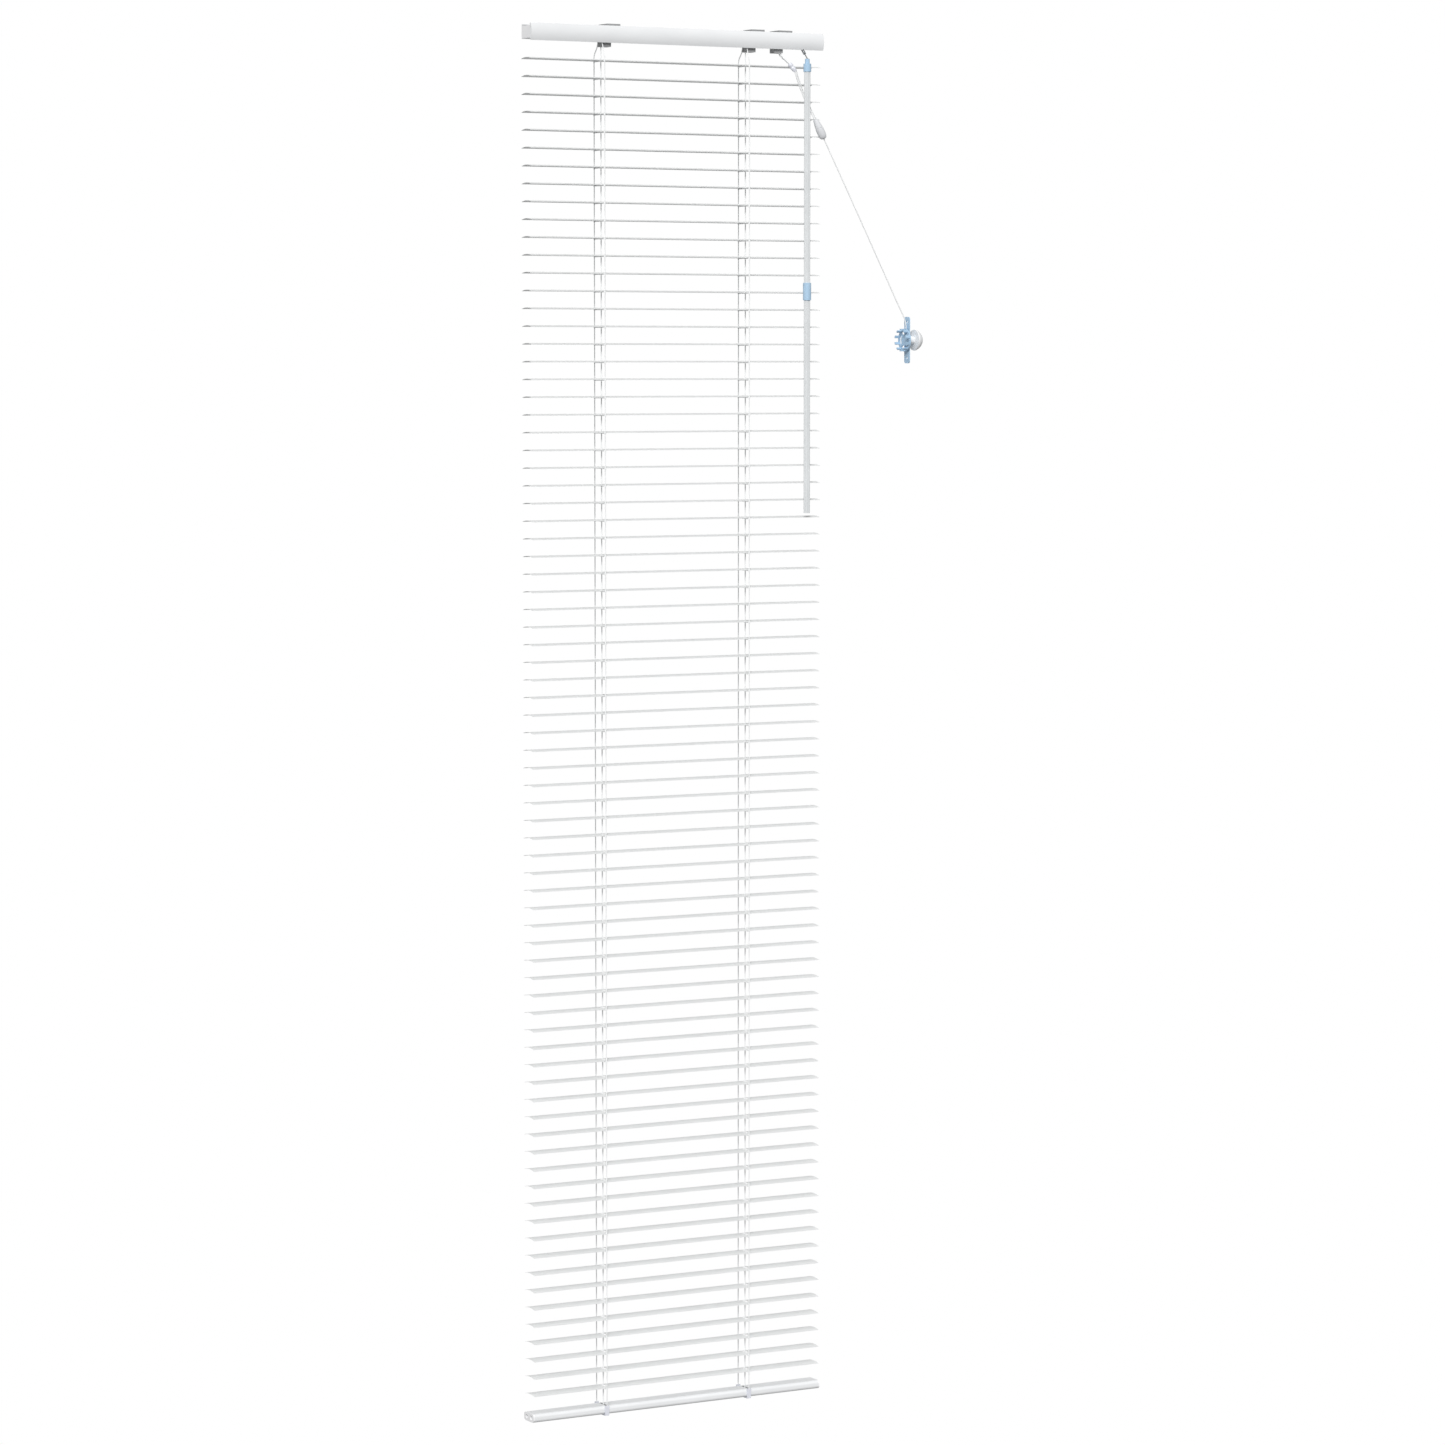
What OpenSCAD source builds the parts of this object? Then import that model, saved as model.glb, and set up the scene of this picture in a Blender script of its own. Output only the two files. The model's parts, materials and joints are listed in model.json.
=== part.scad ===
// Venetian blind with 25 mm aluminium slats, a channel headrail, a tilt wand and a lift cord.
// Frame: X to the right, Y towards the wall, Z up. The origin is the middle of the headrail's back.

/* [Blind] */
// Width of the headrail
blind_w = 400; // [340:5:600]
// Number of slats
slat_count = 77; // [60:1:90]
// Height from one slat to the next
slat_pitch = 21; // [19:0.5:26]
// Height from the first slat's edge down from the headrail's middle
first_drop = 32.2; // [30:0.2:40]
// Height from the last slat's edge to the bottom rail's top
rail_drop = 21.5; // [18:0.5:30]

/* [Slats] */
// Depth of a slat from front edge to back edge
slat_d = 25; // [22:0.5:30]
// Thickness of the slat's sheet
slat_t = 0.25; // [0.2:0.05:0.5]
// Height of the slat's crown
slat_crown = 1.6; // [1:0.1:3]
// Radius of a slat's corners
slat_corner = 3; // [1:0.5:5]
// How much shorter than the headrail a slat is
slat_short = 4; // [2:1:20]
// How far left of the headrail's middle the slats hang
slat_shift = 3; // [0:0.5:5]
// Width of the slot that the lift cord passes through
slot_w = 4; // [3:0.5:6]
// Length of that slot, from front to back
slot_l = 12; // [10:0.5:16]

/* [Headrail] */
// Depth of the channel, from front to back
rail_d = 22; // [21:0.5:26]
// Height of the channel
rail_h = 17; // [17:0.5:22]
// Thickness of the channel's sheet
rail_t = 0.6; // [0.4:0.1:1]
// Height of the front cover
cover_h = 20.3; // [19:0.1:24]
// How far the front cover bulges
cover_bulge = 2.2; // [1:0.1:4]
// Thickness of the front cover
cover_t = 0.7; // [0.5:0.1:1.2]
// Length of an end cap's side walls
cap_l = 9; // [5:0.5:15]

/* [Ladders] */
// Distance of each ladder from the slat's end
ladder_inset = 98; // [80:1:120]
// Diameter of a ladder's side cords
string_d = 1.2; // [0.8:0.1:1.6]
// Diameter of a ladder's rungs
rung_d = 0.8; // [0.6:0.1:1]
// Diameter of the lift cords
cord_d = 1.4; // [1:0.1:1.8]
// Distance from a ladder to its lift cord
lift_offset = 2; // [1.9:0.1:3]

/* [Tilt] */
// Radius of the tilt rod's hexagon
rod_r = 2.2; // [1.8:0.1:2.6]
// Radius of the cord drums
drum_r = 4.5; // [4:0.1:5]
// Length of the cord drums
drum_l = 17; // [14:0.5:22]
// Radius of the tilter's gear
gear_r = 4.1; // [3.8:0.1:4.3]
// Number of teeth on the tilter's gear
gear_teeth = 20; // [16:1:24]
// Radius of the worm
worm_r = 1.3; // [1:0.1:1.5]
// Radius of the worm's stem
stem_r = 1.8; // [1.5:0.1:2]
// Distance of the wand from the headrail's right end
wand_inset = 27.5; // [20:0.5:35]
// Radius of the wand's hexagon
wand_r = 4.2; // [3.5:0.1:4.2]
// Length of one half of the wand
wand_half = 267; // [200:1:320]

/* [Cord lock and cord] */
// Distance of the cord lock from the headrail's right end
lock_inset = 60.8; // [58:0.1:70]
// Radius of the cord lock's roller
roller_r = 2.4; // [2:0.1:2.5]
// Diameter of the condenser that joins the cords
condenser_d = 10; // [8:0.5:11]

/* [Bottom rail] */
// Height of the bottom rail
foot_h = 10.3; // [9:0.1:14]
// Depth of the bottom rail
foot_d = 25; // [22:0.5:30]
// Thickness of the bottom rail's sheet
foot_t = 0.6; // [0.5:0.1:1.5]
// Thickness of the bottom rail's end caps
foot_cap_t = 1.5; // [1:0.1:3]

/* [Cord winder] */
// Length of the winder's bracket
bracket_l = 57; // [50:1:70]
// Width of the winder's bracket
bracket_w = 11.6; // [9:0.2:16]
// Thickness of the winder's bracket
bracket_t = 1.4; // [1:0.1:2]
// Distance between the bracket's two screw holes
hole_gap = 44; // [36:1:48]
// Radius of the screw holes
hole_r = 1.8; // [1.5:0.1:2.2]
// Outer radius of the winder's crown
crown_r = 14; // [12:0.5:16]
// Number of prongs on the crown
prongs = 10; // [8:1:14]
// Radius of the winder's knob
knob_r = 12.8; // [10:0.2:15]

/* [Hidden] */
$fn = 48;
gap = 0.3; // between pieces that move past each other
fit = 0.05; // radial clearance of a running fit
seat = 0.1; // between pieces that are pushed together
low_count = 8; // lowest slats, which ride on bodies of their own

arc_steps = 5; // flats on each half of a slat's crown
slat_reach = 15.5; // half the angle of a slat's arc, with a little over to trim
half_w = blind_w / 2;
slat_len = blind_w - slat_short;
slat_x = -slat_shift;
slat_y = -12.6; // middle of the slats, front to back
ladder_x = [slat_x - slat_len / 2 + ladder_inset, slat_x + slat_len / 2 - ladder_inset - 2];
ladder_y = slat_d / 2 + gap + string_d / 2; // from the slat's middle to a side cord
lock_x = half_w - lock_inset;
tilter_x = half_w - wand_inset;
high_count = slat_count - low_count;

// Height of a slat's two edges. The first slat is number 1.
function slat_z(k) = -first_drop - slat_pitch * (k - 1);

foot_top = slat_z(slat_count) - rail_drop;
foot_z = foot_top - foot_h / 2;

rod_y = -14.4;
rod_z = 3.2;
string_reach = drum_r + seat + string_d / 2; // from the rod's middle to a cord on the drum
plate_z = rail_h / 2 + seat;
plate_t = 3;
cradle_wall = 2;
foot_low = -rail_h / 2 - 7; // underside of the cradles' feet
floor_z = -rail_h / 2 + rail_t + seat;
floor_t = 0.9;
lift_run_z = floor_z + floor_t + seat + cord_d / 2;
flare_z = foot_low - 11.5; // where a ladder's side cords turn straight down

worm_tilt = 45; // the worm's axis leans this far from upright
wand_y = -31.8;
ball_z = -22;
ball_r = 1.3;
cap_top = -28; // top of the wand's cap
cap_h = 9.6;
wand_cap_r = 4.75;
joint_h = 21; // height of the sleeve between the wand's halves
pocket = 8; // how deep each half goes into the sleeve

pull_y = -30;
winder = [317, pull_y, -361.7];

// Routes of the free cords
strand_route = [[143.6, -17, -15.7], [144.2, -19, -19], [147, -24, -24], [149.6, -27.8, -28.2]];
strand_lower = [[156.4, -31, -37.6], [158.2, -30.6, -42], [165, -27.8, -55], [172.5, -26.4, -69],
    [179, -27.6, -82], [184.6, -30, -94.2]];
cord_route = [[196.6, -31, -118], [240, -31, -199], [280, -30.6, -274], [304, -30.2, -319],
    [311.6, -30, -332.6], [314.2, -30, -338.4], [315.2, -30, -344], [315.2, -30, -352.6]];

LOW = [for (k = [high_count + 1 : slat_count]) k];

WHITE = [0.93, 0.94, 0.94];
GREY = [0.45, 0.46, 0.47];
BLUE = [0.78, 0.88, 0.95];
STEEL = [0.6, 0.6, 0.62];
CORD = [0.9, 0.9, 0.9];

// ---- helpers ----

function unit(v) = v / norm(v);
function heading(p, i) =
    i == 0 ? unit(p[1] - p[0]) :
    i == len(p) - 1 ? unit(p[i] - p[i - 1]) :
    unit(unit(p[i + 1] - p[i]) + unit(p[i] - p[i - 1]));
function ring(c, t, across, r, n) =
    let (u = unit(cross(t, across)), v = cross(u, t))
    [for (a = [0 : n - 1]) c + r * (cos(360 * a / n) * u + sin(360 * a / n) * v)];

// A tube along a list of points. No stretch of it may run along the direction called across.
module tube(route, d, across = [0, 1, 0], n = 8) {
    rings = len(route);
    polyhedron(
        points = [for (i = [0 : rings - 1]) each ring(route[i], heading(route, i), across, d / 2, n)],
        faces = concat(
            [[for (a = [0 : n - 1]) a]],
            [for (i = [0 : rings - 2], a = [0 : n - 1])
                [i * n + a, (i + 1) * n + a, (i + 1) * n + (a + 1) % n, i * n + (a + 1) % n]],
            [[for (a = [n - 1 : -1 : 0]) (rings - 1) * n + a]]
        ),
        convexity = 6
    );
}

// A box between two corners
module block(a, b) translate(a) cube(b - a);

// Places its children along X, with their own X axis up and their Y axis to the back
module along_x(x = 0) translate([x, 0, 0]) rotate([90, 0, 90]) children();

// A round bar along X
module bar_x(x0, x1, y, z, r, sides = 48) along_x(x0) translate([y, z, 0]) cylinder(h = x1 - x0, r = r, $fn = sides);

module round_rect(w, h, r) {
    square([w - 2 * r, h], center = true);
    square([w, h - 2 * r], center = true);
    for (x = [-1, 1], y = [-1, 1]) translate([x * (w / 2 - r), y * (h / 2 - r)]) circle(r);
}

// Places its children on the worm's axis: their Z runs from the wand's hook up into the headrail
module worm_axis() translate([tilter_x, wand_y, ball_z]) rotate([-worm_tilt, 0, 0]) children();

// ---- headrail ----

module cradle_hole(x) block([x - 1.5, slat_y - 8.4, -rail_h], [x + 12.9, slat_y + 8.2, 0]);

module headrail() color(WHITE) difference() {
    union() {
        block([-half_w, -rail_t, -rail_h / 2], [half_w, 0, rail_h / 2]);
        block([-half_w, -rail_d, -rail_h / 2], [half_w, -rail_d + rail_t, rail_h / 2]);
        block([-half_w, -rail_d, -rail_h / 2], [half_w, 0, -rail_h / 2 + rail_t]);
        block([-half_w, -rail_t - 1.4, rail_h / 2 - rail_t], [half_w, -rail_t / 2, rail_h / 2]);
        block([-half_w, -rail_d + rail_t / 2, rail_h / 2 - rail_t],
            [half_w, -rail_d + rail_t + 1.4, rail_h / 2]);
    }
    for (x = ladder_x) cradle_hole(x);
    block([lock_x - 5.8, -20, -rail_h], [lock_x + 6.2, -7.8, 0]);
    worm_axis() cylinder(h = 26, r = stem_r + 1.7);
}

module front_cover() {
    r = (pow(cover_h / 2, 2) + pow(cover_bulge, 2)) / (2 * cover_bulge);
    face_y = -rail_d - gap - cover_t - cover_bulge;
    mid_z = -0.75;
    color(WHITE) difference() {
        union() {
            along_x(-half_w) linear_extrude(blind_w) intersection() {
                translate([face_y + r, mid_z]) difference() {
                    circle(r, $fn = 180);
                    circle(r - cover_t, $fn = 180);
                }
                translate([face_y, mid_z - cover_h / 2]) square([cover_bulge + cover_t + 0.4, cover_h]);
            }
            block([-half_w, -rail_d - cover_t - gap, -rail_h / 2 - seat - cover_t],
                [half_w, -rail_d + 1.1, -rail_h / 2 - seat]);
        }
        worm_axis() cylinder(h = 40, r = stem_r + 0.6);
    }
}

// An end cap, with its outer face at X = 0 and its walls towards +X
module end_cap() color(GREY) {
    inner_y = [-rail_d + rail_t + seat, -rail_t - seat];
    top = rail_h / 2 - rail_t - 1.2;
    block([0, inner_y[0], floor_z], [2, inner_y[1], top]);
    block([2, inner_y[0], floor_z], [cap_l, inner_y[0] + 1.2, top - 1]);
    block([2, inner_y[1] - 1.2, floor_z], [cap_l, inner_y[1], top - 1]);
    block([2, inner_y[0] + 1.2, floor_z], [cap_l, inner_y[1] - 1.2, floor_z + 1.2]);
}

module end_cap_left() translate([-half_w, 0, 0]) end_cap();
module end_cap_right() translate([half_w, 0, 0]) mirror([1, 0, 0]) end_cap();

// ---- cradles and drums ----

// A cradle that holds the tilt rod's drum over the ladder at x
module cradle(x) {
    front = -rail_d + rail_t + seat;
    back = -rail_t - seat;
    left = x - drum_l / 2 + 5 - gap - cradle_wall;
    right = x + drum_l / 2 + 5 + gap;
    top = rail_h / 2 - rail_t - seat;
    color(GREY) difference() {
        union() {
            block([left, front, floor_z], [right + cradle_wall, back, floor_z + floor_t]);
            block([left, front, floor_z], [left + cradle_wall, back, top]);
            block([right, front, floor_z], [right + cradle_wall, back, top]);
            block([right, front + 3, floor_z], [right + cradle_wall, back - 3, plate_z + plate_t / 2]);
            block([x + 5.6, -rail_d, plate_z], [x + 23.4, 0, plate_z + plate_t]);
            block([x + 0.9, slat_y - 6.4, foot_low], [x + 12.5, slat_y + 5.6, floor_z + floor_t]);
        }
        bar_x(left - 1, right + cradle_wall + 1, rod_y, rod_z, rod_r + 0.6 + fit);
        for (w = [left, right])
            block([w - 1, -20, floor_z + floor_t], [w + cradle_wall + 1, -4, lift_run_z + cord_d]);
        block([x - 1.4, slat_y - 8.3, floor_z - 1], [x + 0.9, slat_y + 7.5, floor_z + floor_t + 1]);
        translate([x + lift_offset, slat_y, foot_low - 1]) cylinder(h = 12, r = cord_d / 2 + 0.3);
    }
}

module cradle_left() cradle(ladder_x[0]);
module cradle_right() cradle(ladder_x[1]);

module drum(x) {
    mid = x + 5;
    color(WHITE) difference() {
        union() {
            bar_x(mid - drum_l / 2, mid + drum_l / 2, rod_y, rod_z, drum_r);
            bar_x(mid - drum_l / 2 - gap - cradle_wall, mid + drum_l / 2 + gap + cradle_wall,
                rod_y, rod_z, rod_r + 0.6);
        }
        bar_x(mid - drum_l, mid + drum_l, rod_y, rod_z, rod_r + fit, 6);
    }
}

module drum_left() drum(ladder_x[0]);
module drum_right() drum(ladder_x[1]);

module tilt_rod() color(STEEL) bar_x(ladder_x[0] - 12, tilter_x + 10, rod_y, rod_z, rod_r, 6);

// ---- tilter and wand ----

module tilt_gear() {
    root_r = gear_r - 0.9;
    color(WHITE) difference() {
        union() {
            bar_x(tilter_x - 7.7, tilter_x + 7.7, rod_y, rod_z, rod_r + 0.6);
            bar_x(tilter_x - 2.5, tilter_x + 2.5, rod_y, rod_z, root_r);
            for (a = [0 : gear_teeth - 1])
                translate([tilter_x, rod_y, rod_z]) rotate([360 * a / gear_teeth, 0, 0])
                    translate([-2.5, -0.25, root_r - 0.2]) cube([5, 0.5, gear_r - root_r + 0.1]);
        }
        bar_x(tilter_x - 9, tilter_x + 9, rod_y, rod_z, rod_r + fit, 6);
    }
}

module tilter_housing() {
    front = -rail_d + rail_t + seat;
    back = -rail_t - seat;
    top = rail_h / 2 - rail_t - seat;
    color(GREY) difference() {
        union() {
            block([tilter_x - 10, front, floor_z], [tilter_x + 10, back, floor_z + floor_t]);
            for (x = [tilter_x - 10, tilter_x + 8]) block([x, front, floor_z], [x + 2, back, top]);
            block([tilter_x - 10, back - 1.2, floor_z], [tilter_x + 10, back, top]);
            worm_axis() translate([0, 0, 19.2]) cylinder(h = 5, r = stem_r + 1.2);
        }
        worm_axis() cylinder(h = 32, r = stem_r + fit);
        bar_x(tilter_x - 11, tilter_x + 11, rod_y, rod_z, rod_r + 0.6 + fit);
    }
}

module tilter_worm() color(STEEL) worm_axis() {
    sphere(ball_r);
    cylinder(h = 9.5, r = 0.7);
    translate([0, 0, 9]) cylinder(h = 17.5, r = stem_r);
    translate([0, 0, 26]) cylinder(h = 8, r = worm_r);
}

module at_wand(z) translate([tilter_x, wand_y, z]) children();

module wand_cap() color(BLUE) difference() {
    union() {
        at_wand(cap_top - cap_h) cylinder(h = cap_h, r = wand_cap_r);
        at_wand(cap_top - seat) cylinder(h = ball_z - cap_top, r = 2.9);
    }
    at_wand(ball_z) sphere(ball_r + 0.4);
    at_wand(cap_top - cap_h - 1) cylinder(h = 5, r = wand_r + fit, $fn = 6);
}

wand_top = cap_top - cap_h + 3.9;
sleeve_top = wand_top - wand_half + pocket;

module wand_upper() color(WHITE) at_wand(wand_top - wand_half) cylinder(h = wand_half, r = wand_r, $fn = 6);

module wand_sleeve() color(BLUE) difference() {
    at_wand(sleeve_top - joint_h) cylinder(h = joint_h, r = wand_r + 0.8);
    at_wand(sleeve_top - pocket) cylinder(h = pocket + 1, r = wand_r + fit, $fn = 6);
    at_wand(sleeve_top - joint_h - 1) cylinder(h = pocket + 1, r = wand_r + fit, $fn = 6);
}

module wand_lower() color(WHITE) at_wand(sleeve_top - joint_h + pocket - wand_half)
    cylinder(h = wand_half, r = wand_r, $fn = 6);

// ---- cord lock ----

module cord_lock() {
    front = -rail_d + rail_t + seat;
    back = -rail_t - seat;
    top = rail_h / 2 - rail_t - seat;
    left = lock_x - 8;
    right = lock_x + 16;
    color(GREY) difference() {
        union() {
            block([left, front, floor_z], [right, back, floor_z + floor_t]);
            block([left, front, floor_z], [right, front + 1.6, top]);
            block([left, -8.2, floor_z], [right, -6.4, -0.2]);
            block([right - 2, front, floor_z], [right, back, top]);
            block([right - 2, front + 3, floor_z], [right, back - 3, plate_z + plate_t / 2]);
            block([lock_x - 1, -rail_d, plate_z], [lock_x + 18, 0, plate_z + plate_t]);
            block([lock_x - 5.6, -19.6, foot_low], [lock_x + 6, -8, floor_z + floor_t]);
        }
        bar_x(left - 1, right + 1, rod_y, rod_z, rod_r + 1);
        block([lock_x + 2.4, -18.6, foot_low - 1], [lock_x + 6.4, -9.4, floor_z + floor_t + 1]);
        translate([lock_x + 1, 0, -2.4]) rotate([90, 0, 0]) cylinder(h = 40, r = 1 + fit);
    }
}

module cord_lock_roller() color(STEEL) translate([lock_x + 1, 0, -2.4]) rotate([90, 0, 0]) {
    translate([0, 0, 8.5]) cylinder(h = 10.7, r = roller_r);
    translate([0, 0, 6.6]) cylinder(h = 14.4, r = 1);
}

// ---- slats, ladders and lift cords ----

// Points on a crowned sheet's arc of radius r about the middle of an arc of radius mid, front to back
function slat_arc(r, mid, way) =
    [for (i = [-arc_steps : arc_steps]) let (a = way * i * slat_reach / arc_steps)
        [r * sin(a), r * cos(a) + slat_crown - mid]];

module slat(k) {
    chord = slat_d / 2;
    r = (chord * chord + slat_crown * slat_crown) / (2 * slat_crown);
    color(WHITE) translate([slat_x, slat_y, slat_z(k)]) difference() {
        intersection() {
            along_x(-slat_len / 2 - 1) linear_extrude(slat_len + 2)
                polygon(concat(slat_arc(r + slat_t, r, 1), slat_arc(r, r, -1)));
            translate([0, 0, -5]) linear_extrude(20) round_rect(slat_len, slat_d, slat_corner);
        }
        for (x = ladder_x) translate([x + lift_offset - slat_x, 0, -5]) {
            side = (slot_l - slot_w) / 2;
            translate([-slot_w / 2, -side, 0]) cube([slot_w, 2 * side, 20]);
            for (y = [-side, side]) translate([0, y, 0]) cylinder(h = 20, r = slot_w / 2);
        }
    }
}

// The cross cords that slat k lies on, one in each ladder
module rungs(k) color(CORD) for (x = ladder_x) {
    reach = ladder_y - string_d / 2 - gap;
    translate([x, slat_y + reach, slat_z(k) - slat_t - gap - rung_d / 2]) rotate([90, 0, 0])
        cylinder(h = 2 * reach, r = rung_d / 2, $fn = 16);
}

module slats_upper() for (k = [1 : high_count]) slat(k);
module rungs_upper() for (k = [1 : high_count]) rungs(k);

// Ladder side cords from the drums down to where they hang straight
module ladder_tops() color(CORD) for (x = ladder_x) {
    tube([[x, rod_y - string_reach, rod_z], [x, rod_y - string_reach, floor_z],
        [x, slat_y - 8.9, foot_low], [x, slat_y - ladder_y, flare_z]], string_d, [1, 0, 0]);
    tube([[x, rod_y + string_reach, rod_z], [x, rod_y + string_reach, floor_z],
        [x, slat_y + 5.6, foot_low], [x, slat_y + ladder_y, flare_z]], string_d, [1, 0, 0]);
}

low_start = slat_z(high_count) - slat_pitch / 2; // where the stretch that folds up begins

module side_cords(side, top, bottom) color(CORD) for (x = ladder_x)
    translate([x, slat_y + side * ladder_y, bottom]) cylinder(h = top - bottom, d = string_d, $fn = 16);

module ladder_front() side_cords(-1, flare_z - gap, low_start);
module ladder_back() side_cords(1, flare_z - gap, low_start);
module ladder_front_low() side_cords(-1, low_start, foot_top + 1.2);
module ladder_back_low() side_cords(1, low_start, foot_top + 1.2);

module straight_lift(top, bottom) color(CORD) for (x = ladder_x)
    translate([x + lift_offset, slat_y, bottom]) cylinder(h = top - bottom, d = cord_d, $fn = 16);

knot_r = 2.2;

module lift_cords() straight_lift(foot_low, low_start);
module lift_cords_low() straight_lift(low_start, foot_z + knot_r);

// The lift cords inside the headrail, from the cradles' feet to the cord lock's outlet
module lift_cord_runs() color(CORD) {
    outlet = strand_route[0];
    for (i = [0, 1]) {
        x = ladder_x[i] + lift_offset;
        turn = [-16.6, -11.4][i];
        end = outlet + [0, i == 0 ? 0 : 4, 0];
        tube([[x, slat_y, foot_low], [x, slat_y, lift_run_z - 1], [x + 0.6, slat_y, lift_run_z],
            [lock_x + 1.5, turn, lift_run_z], [lock_x + 3.8, turn, lift_run_z - 0.8],
            [end[0] + 0.2, end[1], lift_run_z - 4], end], cord_d);
    }
}

module cord_knots() color(CORD) for (x = ladder_x)
    translate([x + lift_offset, slat_y, foot_z]) sphere(knot_r);

// ---- bottom rail ----

module foot_outline(inset = 0) round_rect(foot_d - 2 * inset, foot_h - 2 * inset, 4 - inset);

module bottom_rail() color(WHITE) translate([slat_x, slat_y, foot_z]) difference() {
    along_x(-slat_len / 2) linear_extrude(slat_len) difference() {
        foot_outline();
        foot_outline(foot_t);
    }
    for (x = ladder_x)
        translate([x + lift_offset - slat_x - 1.5, -9, 0]) cube([3, 18, foot_h]);
}

// A bottom rail end cap, with its flange on the outside of X = 0 and its plug towards +X
module rail_cap() color(GREY) translate([0, slat_y, foot_z]) difference() {
    union() {
        along_x(-foot_cap_t) linear_extrude(foot_cap_t) foot_outline();
        along_x(0) linear_extrude(6) foot_outline(foot_t + seat);
    }
    for (y = [-1, 1]) bar_x(-foot_cap_t - 1, 4, y * foot_d * 0.22, 0, foot_h / 2 - 2.4);
}

module rail_cap_left() translate([slat_x - slat_len / 2, 0, 0]) rail_cap();
module rail_cap_right() translate([slat_x + slat_len / 2, 0, 0]) mirror([1, 0, 0]) rail_cap();

// Clips that hold each ladder's ends round the bottom rail
module rail_clips() color(BLUE) for (x = ladder_x) translate([x - 2.8, slat_y, foot_z]) {
    out = foot_d / 2 + seat;
    low = -foot_h / 2 - seat;
    for (side = [-1, 1])
        translate([0, side * (out + 0.6) - 0.6, low - 1.2]) cube([5.6, 1.2, foot_h + 2.2]);
    translate([0, -out - 0.6, low - 1.2]) cube([5.6, 2 * out + 1.2, 1.2]);
}

// ---- pull cord and winder ----

module pull_strand_left() color(CORD) {
    tube(strand_route, cord_d);
    tube([for (p = strand_lower) p + [-1, 0, -0.5]], cord_d);
}

module pull_strand_right() color(CORD) {
    tube([for (p = strand_route) p + [0, 4 * (1 - (strand_route[0][2] - p[2]) / 30), 0]], cord_d);
    tube([for (p = strand_lower) p + [1, 0, 0.5]], cord_d);
}

module between(a, b) {
    d = b - a;
    translate(a) rotate([0, acos(d[2] / norm(d)), atan2(d[1], d[0])]) children();
}

module cord_joiner() {
    a = strand_route[len(strand_route) - 1];
    b = strand_lower[0];
    l = norm(b - a);
    color(BLUE) between(a, b) rotate_extrude()
        polygon([[0, 0.1], [2.1, 0.1], [2.9, 1.6], [2.9, l - 1.6], [2.1, l - 0.1], [0, l - 0.1]]);
}

module cord_condenser() {
    a = strand_lower[len(strand_lower) - 1];
    b = cord_route[0];
    r = condenser_d / 2;
    l = norm(b - a);
    color(WHITE) between(a, b) rotate_extrude()
        polygon([[0, 0.6], [2.6, 0.6], [r - 0.6, 2.2], [r, 5], [r, l - 6], [r - 1, l - 2.5],
            [r - 2.6, l - 0.1], [0, l - 0.1]]);
}

module pull_cord() color(CORD) tube(cord_route, cord_d);

module at_winder() translate(winder) rotate([0, 90, 0]) children();

module winder_bracket() color(BLUE) at_winder() translate([0, 0, -bracket_t / 2]) difference() {
    linear_extrude(bracket_t) round_rect(bracket_l, bracket_w, 3);
    for (side = [-1, 1]) translate([side * hole_gap / 2, 0, -1]) cylinder(h = 5, r = hole_r);
    translate([0, 0, -1]) cylinder(h = 5, r = 3 + fit);
}

module winder_spool() color(BLUE) at_winder() {
    far = -bracket_t / 2 - gap;
    ring_z = far - 3.6;
    prong = [1.8, 3, 5.5];
    translate([0, 0, ring_z]) cylinder(h = -ring_z + bracket_t / 2 + 8, r = 3);
    translate([0, 0, ring_z]) cylinder(h = far - ring_z, r = 7);
    difference() {
        translate([0, 0, ring_z]) cylinder(h = 1.6, r = crown_r);
        translate([0, 0, ring_z - 1]) cylinder(h = 4, r = crown_r - 3);
    }
    for (a = [0 : 3]) rotate(45 + 90 * a) translate([5, -1.5, ring_z]) cube([crown_r - 7, 3, 1.6]);
    for (a = [0 : prongs - 1]) rotate(360 * a / prongs)
        translate([crown_r - prong[0], -prong[1] / 2, ring_z - prong[2]])
            cube([prong[0] - 0.2, prong[1], prong[2] + 0.5]);
}

module winder_knob() color(WHITE) at_winder() translate([0, 0, bracket_t / 2 + gap]) difference() {
    rotate_extrude() polygon([[0, 0], [5, 0], [5, 7.6], [knob_r, 8.4], [knob_r, 10],
        [knob_r - 1.2, 12.4], [knob_r - 3, 15], [knob_r - 5, 16.8], [0, 17.4]]);
    translate([0, 0, -1]) cylinder(h = 9 - gap, r = 3 + fit);
}

// ---- the nodes ----

headrail();
front_cover();
end_cap_left();
end_cap_right();
cradle_left();
cradle_right();
cord_lock();
cord_lock_roller();
tilter_housing();
tilt_rod();
drum_left();
drum_right();
tilt_gear();
tilter_worm();
wand_cap();
wand_upper();
wand_sleeve();
wand_lower();
ladder_tops();
ladder_front();
ladder_back();
ladder_front_low();
ladder_back_low();
rungs_upper();
slats_upper();
lift_cord_runs();
lift_cords();
lift_cords_low();
cord_knots();
bottom_rail();
rail_cap_left();
rail_cap_right();
rail_clips();
pull_strand_left();
pull_strand_right();
cord_joiner();
cord_condenser();
pull_cord();
winder_bracket();
winder_spool();
winder_knob();
for (k = LOW) {
    slat(k);
    rungs(k);
}
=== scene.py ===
import json
import math

import bmesh
import bpy
from mathutils import Matrix, Vector


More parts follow.
